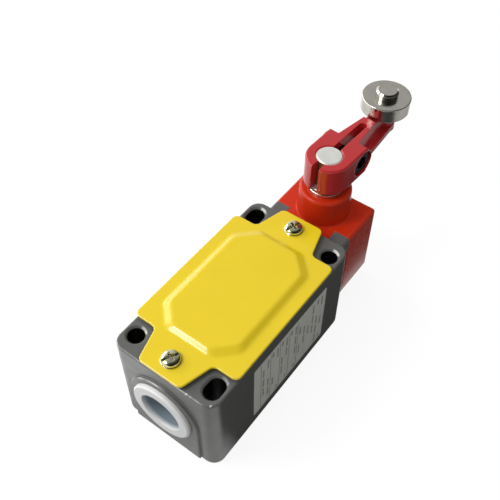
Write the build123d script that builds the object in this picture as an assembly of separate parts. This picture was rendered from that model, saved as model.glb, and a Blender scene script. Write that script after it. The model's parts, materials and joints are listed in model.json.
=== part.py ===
from build123d import *
import math
import os

# Rotary lever limit switch, lying on its mounting face.
# Millimetres. Origin: centre of the four mounting holes, on the mounting face.
# +X across the housing, +Y towards the operating head, +Z out of the cover.

# Mounting pattern
mount_pitch_x = 30.0
mount_pitch_y = 60.0
mount_edge_x = 4.3
mount_edge_y = 6.5
mount_hole_d = 5.6
mount_slot_length = 7.6
mount_mouth_chamfer = 0.65

# Housing casting
body_height = 37.6
body_corner_r = 4.2
body_edge_r = 0.7
wall = 2.6
floor = 3.0
end_block = 10.0
post_block = 12.4
pocket_width = 15.0

# Cable entry on the front end
entry_bore_r = 10.1
entry_pad_r = 13.3
entry_pad_height = 0.9
entry_pad_edge = 0.35

# Front cover, pressed from sheet, and its gasket
cover_sheet = 0.8
cover_gasket_t = 1.2
cover_overhang = 0.3
cover_shoulder = 4.6
cover_tab_clear = 3.9
cover_tab_taper = 3.2
cover_corner_r = 2.1
cover_edge_r = 0.4
panel_side_margin = 4.4
panel_end_margin = 1.3
panel_corner_cut = 6.4
panel_rise = 1.3
panel_slope = 2.0
panel_round = 3.6
panel_blend_r = 2.4
gasket_inset = 0.45

# Cover screws
cover_screw_edge = 5.3
cover_screw_r = 2.0
cover_screw_depth = 6.6
cover_screw_head_r = 3.2
cover_screw_head_h = 2.0
cover_screw_turns = {-1: 61, 1: 68}

# Entry plug
plug_flange_r = 11.1
plug_flange_t = 1.5
plug_sleeve_length = 6.5
plug_cup_r = 7.5
plug_cup_depth = 6.2
plug_floor_draft = 0.7
plug_edge = 0.5
plug_sleeve_draft = 0.4

# Neck of the housing: four corner ears that key the operating head
head_size = 30.4
ear_length = 6.7
key_width = 18.8
ear_corner_r = 1.2

# Operating head casting
head_length = 17.5
head_edge_r = 0.9
head_gasket_t = 0.6
shaft_setback = 7.0
boss_height = 11.1
boss_base_r = 9.3
boss_top_r = 9.0
boss_rim_r = 1.1
boss_root_r = 0.5
cam_room_width = 16.4
cam_room_height = 18.0

# Head screws
head_screw_pitch = 23.0
head_screw_r = 1.5
head_screw_cap_r = 2.75
head_screw_cap_h = 2.8
head_screw_grip = 5.2
head_screw_sink = 0.2

# Actuator shaft, bush and cam
shaft_r = 4.4
shaft_chamfer = 0.4
pilot_r = 3.0
pilot_length = 3.6
bush_r = 6.4
bush_stand = 1.2
seal_wire_r = 0.7
seal_depth = 4.0
cam_r = 6.6
cam_flat = 4.9
cam_height = 8.0
cam_pin_r = 0.9

# Lever
lever_angle = 3.4
hub_r = 7.9
hub_height = 11.0
hub_edge_r = 0.8
spacer_t = 1.4
shoulder_reach = 11.3
slot_width = 2.8
slot_reach = 20.5
web_rise = 2.9
web_t = 2.1
web_root_width = 13.8
rib_root_width = 11.0
rib_tip_width = 6.6
rib_neck_width = 5.3
rib_reach = 24.4
rib_draft_angle = 9.0
lever_reach = 32.7
eye_r = 4.4
eye_drop = 1.1
eye_step = 0.2
clamp_reach = 8.8
clamp_rise = 5.7
clamp_boss_r = 5.0
clamp_screw_r = 2.5
clamp_head_r = 4.4
clamp_head_h = 3.6
clamp_seat_depth = 4.2

# Roller and its riveted axle
roller_r = 8.5
roller_t = 5.3
roller_edge = 0.35
axle_r = 2.5
axle_head_r = 3.9
axle_head_h = 2.35
axle_head_bevel = 0.6
axle_tail_r = 4.5
axle_tail_h = 1.0
washer_r = 4.0
washer_t = 0.4

# Push rod between the cam and the contact block
rod_r = 3.0
rod_flange_r = 5.0
rod_flange_t = 1.6
rod_edge = 0.25
plunger_travel = 1.8

# Contact block
block_width = 28.0
block_length = 30.0
block_height = 25.0
block_gap = 4.2
block_foot_h = 3.0
block_foot_r = 3.2
block_wall = 4.0
chamber_width = 14.4
chamber_floor = 4.6
lid_t = 1.4
carrier_width = 6.0
carrier_height = 7.0
carrier_length = 19.0
carrier_corner_r = 0.6
nose_r = 2.0
bridge_t = 0.8
bridge_height = 4.0
bridge_width = 13.0
bridge_setback = 10.0
window_length = 6.4
strip_t = 1.0
tip_r = 1.3
tip_t = 0.5
tip_offset = 5.0
terminal_size = 5.6
terminal_step = 4.4
terminal_screw_r = 1.5
terminal_head_r = 2.3
terminal_head_h = 1.7
clamp_plate_t = 0.9
block_corner_r = 1.0
lid_overlap = 0.5
block_screw_r = 1.25
block_screw_head_r = 2.35
block_screw_depth = 4.5
block_screw_setback = 5.0

# Earth screw
earth_side = 4.1
earth_setback = 6.6
earth_boss_r = 3.6
earth_boss_h = 6.0
earth_screw_r = 1.75
earth_head_r = 3.3
earth_head_h = 2.0

# Screw heads, as ratios of the head's own radius or height
pan_dome_ratio = 0.55
recess_width_ratio = 1.15
recess_arm_ratio = 0.3
recess_depth_ratio = 0.75
recess_draft_angle = 12
cap_edge_ratio = 0.1
socket_width_ratio = 0.55
socket_depth_ratio = 0.6

# Springs
spring_wire_r = 0.35
spring_turns = 4.0
contact_wire_r = 0.25
contact_spring_r = 1.2

# Clearances
running_gap = 0.05
axial_play = 0.08
screw_gap = 0.25
tip_room = 1.0
seat_gap = 0.15
slide_gap = 0.08

# Places worked out from the sizes above
body_width = mount_pitch_x + 2 * mount_edge_x
body_length = mount_pitch_y + 2 * mount_edge_y
cover_width = body_width + 2 * cover_overhang
cover_length = body_length + 2 * cover_overhang
cover_wide_length = mount_pitch_y - 2 * cover_shoulder
cover_tab_root = mount_pitch_x - 2 * cover_tab_clear
cover_tab_end = cover_tab_root - 2 * cover_tab_taper
panel_width = cover_width - 2 * panel_side_margin
panel_length = cover_wide_length - 2 * panel_end_margin
cover_screw_pitch = body_length - 2 * cover_screw_edge
earth_x = earth_side - body_width / 2 + wall
axis_z = body_height / 2
front_y = -body_length / 2
rear_y = body_length / 2
cavity_end = rear_y - post_block
pocket_end = rear_y - end_block
cover_bottom = body_height + cover_gasket_t
cover_top = cover_bottom + cover_sheet
head_half = head_size / 2
head_base = rear_y + head_gasket_t
head_block = rear_y + ear_length
head_end = head_block + head_length
head_top = axis_z + head_half
shaft_y = head_block + shaft_setback
boss_top = head_top + boss_height
room_bottom = axis_z - cam_room_height / 2
room_top = axis_z + cam_room_height / 2
bush_top = boss_top + bush_stand
hub_bottom = bush_top + axial_play + spacer_t
hub_top = hub_bottom + hub_height
clamp_z = hub_bottom + clamp_rise
web_bottom = hub_bottom + web_rise
web_top = web_bottom + web_t
eye_top = hub_top - eye_drop
roller_bottom = eye_top + washer_t + axial_play
roller_top = roller_bottom + roller_t
bore_r = shaft_r + running_gap
rod_tip = shaft_y - cam_r - seat_gap
block_rear = cavity_end - block_gap
block_front = block_rear - block_length
block_bottom = floor + block_foot_h
block_top = block_bottom + block_height
block_mid = (block_front + block_rear) / 2
chamber_front = block_front + block_wall
chamber_rear = block_rear - block_wall
chamber_bottom = block_bottom + chamber_floor
carrier_rear = block_rear + seat_gap
carrier_front = carrier_rear - carrier_length
bridge_y = carrier_rear - bridge_setback
bridge_face = bridge_t / 2 + tip_t
break_tip_y = bridge_y + bridge_face + slide_gap
make_tip_y = bridge_y - bridge_face - plunger_travel - slide_gap
terminal_x = chamber_width / 2 + terminal_size / 2 + seat_gap
terminal_z = block_top - terminal_step
tiny = 0.01

LOW = (Align.CENTER, Align.CENTER, Align.MIN)
CORNERS = [(-1, -1), (1, -1), (1, 1), (-1, 1)]


def rod_x(radius, x0, x1, y=0.0, z=0.0):
    """Cylinder along X between x0 and x1."""
    return Pos(x0, y, z) * Rot(0, 90, 0) * Cylinder(radius, x1 - x0, align=LOW)


def rod_y(radius, y0, y1, x=0.0, z=0.0):
    """Cylinder along Y between y0 and y1."""
    return Pos(x, y0, z) * Rot(-90, 0, 0) * Cylinder(radius, y1 - y0, align=LOW)


def rod_z(radius, z0, z1, x=0.0, y=0.0):
    """Cylinder along Z between z0 and z1."""
    return Pos(x, y, z0) * Cylinder(radius, z1 - z0, align=LOW)


def cuboid(x0, x1, y0, y1, z0, z1):
    """Rectangular block between two corners, for pockets and stamped strips."""
    size = Box(x1 - x0, y1 - y0, z1 - z0)
    return Pos((x0 + x1) / 2, (y0 + y1) / 2, (z0 + z1) / 2) * size


def slab(sketch, z0, z1):
    """Prism over a plan sketch between two heights."""
    return Pos(0, 0, z0) * extrude(sketch, z1 - z0)


def turned(profile):
    """Solid of revolution about Z from (radius, height) points."""
    return revolve(Plane.XZ * make_face(Polyline(*profile, close=True)), Axis.Z)


def cross_recess(width, arm, depth):
    """Tapered cross recess opening upwards at z = 0."""
    arms = Rectangle(width, arm) + Rectangle(arm, width)
    return extrude(arms, -depth, taper=recess_draft_angle)


def coil(mean_r, length, turns, wire_r):
    """Compression spring along +Z with its ends inside 0 and length."""
    pitch = (length - 2 * wire_r) / turns
    path = Helix(pitch=pitch, height=pitch * turns, radius=mean_r)
    start = Plane(path @ 0, z_dir=path % 0)
    return Pos(0, 0, wire_r) * sweep(start * Circle(wire_r), path=path, is_frenet=True)


def along_y(shape, y0, x=0.0, z=0.0):
    """Turn a shape made along +Z so that it runs along +Y from y0."""
    return Pos(x, y0, z) * Rot(-90, 0, 0) * shape


def save(node, *solids):
    """Write one sub-part as a STEP file."""
    shape = solids[0] if len(solids) == 1 else Compound(children=list(solids))
    shape.label = node
    export_step(shape, f"parts/{node}.step")


# Housing

def mounting_holes():
    """Two round holes on one diagonal and two slots on the other, from top to bottom."""
    straight = mount_slot_length - mount_hole_d
    cuts = []
    for sx, sy in CORNERS:
        at = Pos(sx * mount_pitch_x / 2, sy * mount_pitch_y / 2)
        plan = Circle(mount_hole_d / 2)
        mouth = Circle(mount_hole_d / 2 + mount_mouth_chamfer)
        if sx * sy < 0:
            plan = Rot(0, 0, 90) * SlotCenterToCenter(straight, mount_hole_d)
            mouth = Rot(0, 0, 90) * SlotCenterToCenter(
                straight, mount_hole_d + 2 * mount_mouth_chamfer
            )
        cuts.append(at * slab(plan, 0, body_height))
        rim = extrude(mouth, mount_mouth_chamfer, taper=45)
        cuts.append(at * Pos(0, 0, body_height) * Rot(180, 0, 0) * rim)
    return cuts


def entry_pad():
    """Raised arch round the cable entry, down to the foot of the front face."""
    foot = body_edge_r
    arch = Circle(entry_pad_r)
    legs_h = axis_z - foot
    legs = Pos(0, -legs_h / 2) * Rectangle(2 * entry_pad_r, legs_h)
    pad = extrude(arch + legs, entry_pad_height)
    pad = chamfer(pad.faces().sort_by(Axis.Z)[-1].edges(), entry_pad_edge)
    return Pos(0, front_y, axis_z) * Rot(90, 0, 0) * pad


def corner_ears():
    """Four ears round the rear face, one in each corner of the head's section."""
    square = RectangleRounded(head_size, head_size, ear_corner_r)
    cross = Rectangle(key_width, head_size) + Rectangle(head_size, key_width)
    return along_y(extrude(square - cross, ear_length), rear_y, z=axis_z)


def housing():
    plan = RectangleRounded(body_width, body_length, body_corner_r)
    shell = extrude(plan, body_height)
    rims = shell.faces().sort_by(Axis.Z)[0].edges() + shell.faces().sort_by(Axis.Z)[-1].edges()
    shell = fillet(rims, body_edge_r)
    shell += entry_pad()
    shell += corner_ears()
    inner_w = body_width - 2 * wall
    room = RectangleRounded(inner_w, 2 * cavity_end, cover_corner_r)
    room += RectangleRounded(pocket_width, 2 * pocket_end, cover_corner_r)
    shell -= slab(room, floor, body_height)
    for cut in mounting_holes():
        shell -= cut
    shell -= rod_y(entry_bore_r, front_y - entry_pad_height, -pocket_end, z=axis_z)
    shell -= rod_y(rod_r + running_gap, pocket_end, rear_y, z=axis_z)
    for sy in (-1, 1):
        shell -= rod_z(
            cover_screw_r, body_height - cover_screw_depth - tip_room, body_height,
            y=sy * cover_screw_pitch / 2,
        )
    for sx, sz in CORNERS:
        shell -= rod_y(
            head_screw_r, head_block - head_screw_grip - tip_room, head_block,
            x=sx * head_screw_pitch / 2, z=axis_z + sz * head_screw_pitch / 2,
        )
    for x, y in block_screw_places() + block_rest_places():
        shell += rod_z(block_foot_r, floor - tiny, block_bottom, x, y)
    for x, y in block_screw_places():
        shell -= rod_z(block_screw_r, block_bottom - block_screw_depth, block_bottom, x, y)
    shell += rod_z(earth_boss_r, floor - tiny, floor + earth_boss_h, earth_x, earth_y())
    shell -= rod_z(earth_screw_r, floor, floor + earth_boss_h, earth_x, earth_y())
    return shell


def block_screw_places():
    """The contact block is held at both sides of its front wall."""
    x = (block_width + chamber_width) / 4
    y = block_front + block_screw_setback
    return [(-x, y), (x, y)]


def block_rest_places():
    """Plain feet under the rear corners of the contact block."""
    return [(x, block_rear - block_screw_setback) for x, y in block_screw_places()]


def earth_y():
    return -cavity_end + earth_setback


# Front cover, its gasket and screws

def cover_plan(inset=0.0):
    """Wide middle with a narrower tab at each end, clear of the mounting holes."""
    w = cover_width / 2 - inset
    n = cover_wide_length / 2 - inset
    e = cover_length / 2 - inset
    root = cover_tab_root / 2 - inset
    end = cover_tab_end / 2 - inset
    quarter = [(w, n), (root, n), (end, e)]
    points = quarter + [(-x, y) for x, y in reversed(quarter)]
    points += [(-x, -y) for x, y in quarter]
    points += [(x, -y) for x, y in reversed(quarter)]
    face = make_face(Polyline(*points, close=True))
    return fillet(face.vertices(), cover_corner_r)


def panel_plan(inset=0.0):
    """Raised panel with cut corners."""
    w = panel_width / 2 - inset
    n = panel_length / 2 - inset
    c = panel_corner_cut
    quarter = [(w, n - c), (w - c, n)]
    points = quarter + [(-x, y) for x, y in reversed(quarter)]
    points += [(-x, -y) for x, y in quarter]
    points += [(x, -y) for x, y in reversed(quarter)]
    face = make_face(Polyline(*points, close=True))
    return fillet(face.vertices(), panel_round)


def panel_bump(inset, z0):
    """Sloped bump: the panel's plan drawn in over its rise."""
    low = Pos(0, 0, z0) * panel_plan(inset)
    high = Pos(0, 0, z0 + panel_rise) * panel_plan(inset + panel_slope)
    return loft([low, high])


def front_cover():
    plate = slab(cover_plan(), cover_bottom, cover_top)
    plate = fillet(plate.faces().sort_by(Axis.Z)[-1].edges(), cover_edge_r)
    plate += panel_bump(0.0, cover_top)
    crown = plate.faces().sort_by(Axis.Z)[-1]
    plate = fillet(crown.edges(), panel_blend_r)
    flat = plate.faces().filter_by(lambda face: face.inner_wires())[0]
    plate = fillet(flat.inner_wires()[0].edges(), panel_blend_r)
    plate -= panel_bump(cover_sheet / 2, cover_bottom)
    for sy in (-1, 1):
        plate -= rod_z(
            cover_screw_r + screw_gap, cover_bottom, cover_top,
            y=sy * cover_screw_pitch / 2,
        )
    return plate


def cover_gasket():
    ring = cover_plan(gasket_inset)
    inner_w = body_width - 2 * wall
    ring -= RectangleRounded(inner_w, 2 * cavity_end, cover_corner_r)
    ring -= RectangleRounded(pocket_width, 2 * pocket_end, cover_corner_r)
    for sy in (-1, 1):
        ring -= Pos(0, sy * cover_screw_pitch / 2) * Circle(cover_screw_r + screw_gap)
    return slab(ring, body_height, cover_bottom)


def pan_screw(shank_r, shank_length, head_r, head_h):
    """Pan-head screw with a cross recess, head seated on z = 0."""
    head = extrude(Circle(head_r), head_h)
    head = fillet(head.faces().sort_by(Axis.Z)[-1].edges(), head_h * pan_dome_ratio)
    screw = head + rod_z(shank_r, -shank_length, 0)
    cut = cross_recess(head_r * recess_width_ratio, head_r * recess_arm_ratio, head_h * recess_depth_ratio)
    return screw - Pos(0, 0, head_h) * cut


def cap_screw(shank_r, shank_length, head_r, head_h):
    """Socket cap screw with its head seated on z = 0."""
    head = extrude(Circle(head_r), head_h)
    head = chamfer(head.faces().sort_by(Axis.Z)[-1].edges(), head_h * cap_edge_ratio)
    screw = head + rod_z(shank_r, -shank_length, 0)
    socket = extrude(RegularPolygon(head_r * socket_width_ratio, 6), -head_h * socket_depth_ratio)
    return screw - Pos(0, 0, head_h) * socket


def cover_screws():
    grip = cover_top - body_height + cover_screw_depth
    screw = pan_screw(cover_screw_r, grip, cover_screw_head_r, cover_screw_head_h)
    return [
        Pos(0, sy * cover_screw_pitch / 2, cover_top) * Rot(0, 0, turn) * screw
        for sy, turn in cover_screw_turns.items()
    ]


# Entry plug

def entry_plug():
    """Moulded plug: flange on the pad, sleeve in the bore, open cup in front."""
    seat = entry_pad_height
    face = seat + plug_flange_t
    inner = face - plug_cup_depth
    tail = seat - plug_sleeve_length
    sleeve_r = entry_bore_r - running_gap
    profile = [
        (0, inner), (plug_cup_r - plug_floor_draft, inner), (plug_cup_r, face),
        (plug_flange_r - plug_edge, face), (plug_flange_r, face - plug_edge), (plug_flange_r, seat),
        (sleeve_r, seat), (sleeve_r - plug_sleeve_draft, tail), (0, tail),
    ]
    return Pos(0, front_y, axis_z) * Rot(90, 0, 0) * turned(profile)


# Operating head

def key_cross(size=0.0):
    """Cross-shaped key that sits between the ears."""
    w = key_width - 2 * size
    s = head_size - 2 * size
    return Rectangle(w, s) + Rectangle(s, w)


def head():
    block_plan = RectangleRounded(head_size, head_size, ear_corner_r)
    body = along_y(extrude(block_plan, head_length), head_block, z=axis_z)
    body = fillet(body.faces().sort_by(Axis.Y)[-1].edges(), head_edge_r)
    body += along_y(extrude(key_cross(slide_gap), head_block - head_base), head_base, z=axis_z)
    boss = turned([
        (0, -wall), (boss_base_r, -wall), (boss_base_r, 0), (boss_top_r, boss_height), (0, boss_height),
    ])
    boss = fillet(boss.faces().sort_by(Axis.Z)[-1].edges(), boss_rim_r)
    root_r = boss_base_r + boss_root_r
    root = rod_z(root_r, 0, boss_root_r) - Pos(0, 0, boss_root_r) * Torus(root_r, boss_root_r)
    reach = cuboid(-head_half, head_half, head_base, head_end - head_edge_r, axis_z, boss_top)
    body += Pos(0, shaft_y, head_top) * boss + (Pos(0, shaft_y, head_top) * root & reach)
    room_w = cam_room_width / 2
    body -= cuboid(-room_w, room_w, head_base, shaft_y, room_bottom, room_top)
    body -= rod_z(room_w, room_bottom, room_top, y=shaft_y)
    body -= rod_z(bush_r, room_top, boss_top, y=shaft_y)
    body -= rod_z(pilot_r + running_gap, room_bottom - pilot_length - axial_play, room_bottom, y=shaft_y)
    seat = head_end - head_screw_cap_h - head_screw_sink
    for sx, sz in CORNERS:
        x = sx * head_screw_pitch / 2
        z = axis_z + sz * head_screw_pitch / 2
        body -= rod_y(head_screw_r + running_gap, head_block, head_end, x, z)
        body -= rod_y(head_screw_cap_r + seat_gap, seat, head_end, x, z)
    return body


def head_gasket():
    sheet = key_cross(slide_gap) - Rectangle(cam_room_width, cam_room_height)
    return along_y(extrude(sheet, head_gasket_t), rear_y, z=axis_z)


def head_screws():
    seat = head_end - head_screw_cap_h - head_screw_sink
    grip = seat - head_block + head_screw_grip
    screw = cap_screw(head_screw_r, grip, head_screw_cap_r, head_screw_cap_h)
    return [
        along_y(screw, seat, sx * head_screw_pitch / 2, axis_z + sz * head_screw_pitch / 2)
        for sx, sz in CORNERS
    ]


# Shaft, bush, seal and cam

def seal_z():
    return boss_top - seal_depth


def shaft_bush():
    sleeve = rod_z(bush_r, room_top, bush_top, y=shaft_y)
    sleeve = chamfer(sleeve.faces().sort_by(Axis.Z)[-1].edges(), shaft_chamfer / 2)
    sleeve -= rod_z(bore_r, room_top, bush_top, y=shaft_y)
    groove_r = shaft_r + 2 * seal_wire_r + 2 * running_gap
    half = seal_wire_r + running_gap
    sleeve -= rod_z(groove_r, seal_z() - half, seal_z() + half, y=shaft_y)
    return sleeve


def shaft_seal():
    ring = Torus(shaft_r + running_gap + seal_wire_r, seal_wire_r)
    return Pos(0, shaft_y, seal_z()) * ring


def shaft():
    profile = [
        (0, room_bottom - pilot_length), (pilot_r - shaft_chamfer, room_bottom - pilot_length),
        (pilot_r, room_bottom - pilot_length + shaft_chamfer), (pilot_r, room_bottom + axial_play),
        (shaft_r, room_bottom + axial_play), (shaft_r, hub_top - shaft_chamfer),
        (shaft_r - shaft_chamfer, hub_top), (0, hub_top),
    ]
    pin = rod_x(cam_pin_r, -cam_r, cam_r, shaft_y, axis_z)
    return Pos(0, shaft_y, 0) * turned(profile) - pin


def cam():
    """Round cam with a flat that faces the push rod at rest."""
    plan = Circle(cam_r) - Pos(0, -cam_flat - cam_r) * Rectangle(2 * cam_r, 2 * cam_r)
    body = Pos(0, shaft_y, 0) * slab(plan, axis_z - cam_height / 2, axis_z + cam_height / 2)
    body -= rod_z(shaft_r, axis_z - cam_height, axis_z + cam_height, y=shaft_y)
    return body - rod_x(cam_pin_r, -cam_r, cam_r, shaft_y, axis_z)


def cam_pin():
    reach = cam_r - 2 * slide_gap
    return rod_x(cam_pin_r, -reach, reach, shaft_y, axis_z)


def lever_spacer():
    ring = rod_z(bush_r, hub_bottom - spacer_t, hub_bottom, y=shaft_y)
    ring = chamfer(ring.edges(), shaft_chamfer / 2)
    return ring - rod_z(shaft_r, hub_bottom - spacer_t, hub_bottom, y=shaft_y)


# Lever, made with its arm along +Y and then turned to its clamped angle

def clamped(shape):
    return Pos(0, shaft_y, 0) * Rot(0, 0, -lever_angle) * shape


def tapered(plan, z0, z1, draft):
    return Pos(0, 0, z0) * extrude(plan, z1 - z0, taper=draft)


def wedge_plan(y0, width0, y1, width1):
    """Symmetric trapezium along Y."""
    points = [(-width0 / 2, y0), (width0 / 2, y0), (width1 / 2, y1), (-width1 / 2, y1)]
    return make_face(Polyline(*points, close=True))


def lever_hub():
    plan = Circle(hub_r) + Pos(0, shoulder_reach / 2) * Rectangle(2 * hub_r, shoulder_reach)
    hub = slab(plan, hub_bottom, hub_top)
    rims = hub.faces().sort_by(Axis.Z)[0].edges() + hub.faces().sort_by(Axis.Z)[-1].edges()
    hub = fillet(rims, hub_edge_r)
    return hub + rod_x(clamp_boss_r, -hub_r, hub_r, clamp_reach, clamp_z)


def lever_web():
    plan = wedge_plan(clamp_reach, web_root_width, lever_reach, 2 * eye_r)
    plan += Pos(0, lever_reach) * Circle(eye_r)
    return slab(plan, web_bottom, web_top)


def lever_rib():
    """Drafted rib: full height beside the slot, lower under the roller."""
    low = web_bottom + web_t / 2
    tall = tapered(wedge_plan(clamp_reach, rib_root_width, rib_reach, rib_tip_width),
                   low, hub_top, rib_draft_angle)
    neck = tapered(wedge_plan(slot_reach, rib_tip_width, lever_reach, rib_neck_width),
                   low, eye_top - axial_play, rib_draft_angle)
    eye = tapered(Pos(0, lever_reach) * Circle(eye_r - eye_step), low, eye_top, rib_draft_angle / 2)
    return tall + neck + eye


def lever_arm():
    arm = lever_hub() + lever_web() + lever_rib()
    arm -= rod_z(shaft_r, hub_bottom, hub_top)
    mouth = turned([
        (0, hub_top - shaft_chamfer), (shaft_r, hub_top - shaft_chamfer),
        (shaft_r + shaft_chamfer, hub_top), (0, hub_top),
    ])
    arm -= mouth
    slot_end = slot_reach - slot_width / 2
    slot_start = -hub_r - hub_edge_r
    slot = Pos(0, (slot_start + slot_end) / 2) * Rectangle(slot_width, slot_end - slot_start)
    slot += Pos(0, slot_end) * Circle(slot_width / 2)
    arm -= slab(slot, hub_bottom, hub_top)
    arm -= rod_x(clamp_screw_r, -hub_r, 0, clamp_reach, clamp_z)
    arm -= rod_x(clamp_screw_r + screw_gap, 0, hub_r, clamp_reach, clamp_z)
    arm -= rod_x(clamp_head_r + screw_gap, hub_r - clamp_seat_depth, hub_r, clamp_reach, clamp_z)
    arm -= rod_z(axle_r, web_bottom, eye_top, y=lever_reach)
    return clamped(arm)


def clamp_screw():
    seat = hub_r - clamp_seat_depth
    length = seat + hub_r - hub_edge_r
    screw = cap_screw(clamp_screw_r, length, clamp_head_r, clamp_head_h)
    return clamped(Pos(seat, clamp_reach, clamp_z) * Rot(0, 90, 0) * screw)


def roller_axle():
    """Shouldered rivet: broad head over the roller, formed tail under the eye."""
    head_z = roller_top + axial_play
    head_end_z = head_z + axle_head_h
    tail_z = web_bottom - axle_tail_h
    profile = [
        (0, tail_z), (axle_tail_r - axle_head_bevel, tail_z),
        (axle_tail_r, tail_z + axle_head_bevel), (axle_tail_r, web_bottom), (axle_r, web_bottom),
        (axle_r, head_z), (axle_head_r, head_z), (axle_head_r, head_end_z - axle_head_bevel),
        (axle_head_r - axle_head_bevel, head_end_z), (0, head_end_z),
    ]
    return clamped(Pos(0, lever_reach, 0) * turned(profile))


def roller_washer():
    ring = Circle(washer_r) - Circle(axle_r)
    return clamped(Pos(0, lever_reach, 0) * slab(ring, eye_top, eye_top + washer_t))


def roller():
    disc = rod_z(roller_r, roller_bottom, roller_top)
    disc = fillet(disc.edges(), roller_edge)
    disc -= rod_z(axle_r + running_gap, roller_bottom, roller_top)
    return clamped(Pos(0, lever_reach, 0) * disc)


# Push rod and springs

def push_rod():
    flange_y = rod_tip - rod_flange_t
    rod = rod_y(rod_r, carrier_rear, rod_tip, z=axis_z)
    rod += rod_y(rod_flange_r, flange_y, rod_tip, z=axis_z)
    return chamfer(rod.faces().sort_by(Axis.Y)[-1].edges(), rod_edge)


def head_spring():
    length = rod_tip - rod_flange_t - rear_y - 2 * tiny
    mean_r = rod_r + spring_wire_r + 2 * slide_gap
    return along_y(coil(mean_r, length, spring_turns, spring_wire_r), rear_y + tiny, z=axis_z)


def return_spring():
    length = carrier_front - chamber_front - 2 * tiny
    mean_r = nose_r + spring_wire_r + slide_gap
    return along_y(coil(mean_r, length, spring_turns, spring_wire_r), chamber_front + tiny, z=axis_z)


def contact_spring():
    low = bridge_y - bridge_t / 2 - window_front_room() + tiny
    length = window_front_room() - 2 * tiny
    return along_y(coil(contact_spring_r, length, spring_turns, contact_wire_r),
                   low, z=axis_z)


# Contact block

def window_front_room():
    return window_length - bridge_t


def contact_carrier():
    """Sliding carrier with a window for the bridge and a round guide nose."""
    half_w = carrier_width / 2
    half_h = carrier_height / 2
    bar = RectangleRounded(carrier_width, carrier_height, carrier_corner_r)
    bar = along_y(extrude(bar, carrier_length), carrier_front, z=axis_z)
    window_rear = bridge_y + bridge_t / 2
    bar -= cuboid(-half_w, half_w, window_rear - window_length, window_rear,
                 axis_z - bridge_height / 2, axis_z + bridge_height / 2)
    nose = rod_y(nose_r, block_front + plunger_travel, carrier_front, z=axis_z)
    return bar + nose


def bridge_bar():
    half = bridge_width / 2
    bar = RectangleRounded(bridge_width, bridge_height - 2 * slide_gap, tip_t)
    bar = along_y(extrude(bar, bridge_t), bridge_y - bridge_t / 2, z=axis_z)
    for sx in (-1, 1):
        bar += rod_y(tip_r, bridge_y - bridge_face, bridge_y + bridge_face,
                     sx * tip_offset, axis_z)
    return bar


def fixed_contact(side, tip_face, behind):
    """Stamped strip: tip, upright inside the chamber, and terminal pad outside it."""
    inner = tip_offset - tip_r
    outer = chamber_width / 2
    tip_back = tip_face + behind * tip_t
    strip_back = tip_back + behind * strip_t
    y0, y1 = sorted((tip_back, strip_back))
    upright = cuboid(inner, outer, y0, y1, axis_z - tip_r, terminal_z)
    pad_back = tip_back + behind * (terminal_size - strip_t / 2)
    p0, p1 = sorted((tip_back, pad_back))
    pad = cuboid(outer - strip_t, terminal_x + terminal_size / 2, p0, p1,
                terminal_z - strip_t, terminal_z)
    t0, t1 = sorted((tip_face, tip_back))
    strip = upright + pad + rod_y(tip_r, t0, t1, tip_offset, axis_z)
    hole_y = (p0 + p1) / 2
    strip -= rod_z(terminal_screw_r, terminal_z - strip_t, terminal_z, terminal_x, hole_y)
    return strip if side > 0 else mirror(strip, Plane.YZ)


def terminal_places():
    """Terminal centres: break contacts towards the head, make contacts towards the entry."""
    half = (terminal_size - strip_t / 2) / 2
    rear = break_tip_y + tip_t + half
    front = make_tip_y - tip_t - half
    return [(sx * terminal_x, y) for y in (rear, front) for sx in (-1, 1)]


def contact_block():
    plan = RectangleRounded(block_width, block_length, block_corner_r)
    base = Pos(0, block_mid, 0) * slab(plan, block_bottom, block_top)
    w = chamber_width / 2
    base -= cuboid(-w, w, chamber_front, chamber_rear, chamber_bottom, block_top)
    step = terminal_size + 2 * seat_gap
    half_pad = (terminal_size - strip_t / 2) / 2 + seat_gap
    for x, y in terminal_places():
        out = math.copysign(block_width, x)
        x0, x1 = sorted((math.copysign(w - strip_t, x), out))
        base -= cuboid(x0, x1, y - half_pad, y + half_pad, terminal_z - strip_t, block_top)
        base -= rod_z(terminal_screw_r, terminal_z - step, terminal_z, x, y)
    base -= along_y(
        extrude(Rectangle(carrier_width + 2 * slide_gap, carrier_height + 2 * slide_gap), block_wall),
        chamber_rear, z=axis_z,
    )
    base -= rod_y(nose_r + running_gap, block_front, chamber_front, z=axis_z)
    for x, y in block_screw_places():
        base -= rod_z(block_screw_r + running_gap, block_bottom, block_top, x, y)
        base -= rod_z(block_screw_head_r + screw_gap, block_top - block_wall, block_top, x, y)
    return base


def block_lid():
    """Thin lid over the chamber, between the two rows of terminals."""
    plan = RectangleRounded(
        chamber_width + 2 * lid_overlap, block_length - 2 * block_corner_r, block_corner_r / 2
    )
    return Pos(0, block_mid, 0) * slab(plan, block_top, block_top + lid_t)


def block_screws():
    seat = block_top - block_wall
    length = seat - block_bottom + block_screw_depth - tip_room
    screw = pan_screw(block_screw_r, length, block_screw_head_r, block_wall / 2)
    return [Pos(x, y, seat) * screw for x, y in block_screw_places()]


def terminal_clamps():
    side = terminal_size - strip_t
    plate = Rectangle(side, side) - Circle(terminal_screw_r)
    return [Pos(x, y, 0) * slab(plate, terminal_z, terminal_z + clamp_plate_t)
            for x, y in terminal_places()]


def terminal_screws():
    seat = terminal_z + clamp_plate_t
    length = clamp_plate_t + terminal_size - tip_room
    screw = pan_screw(terminal_screw_r, length, terminal_head_r, terminal_head_h)
    return [Pos(x, y, seat) * screw for x, y in terminal_places()]


def earth_screw():
    seat = floor + earth_boss_h
    screw = pan_screw(earth_screw_r, earth_boss_h - tip_room, earth_head_r, earth_head_h)
    return Pos(earth_x, earth_y(), seat) * screw


os.makedirs("parts", exist_ok=True)

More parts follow.
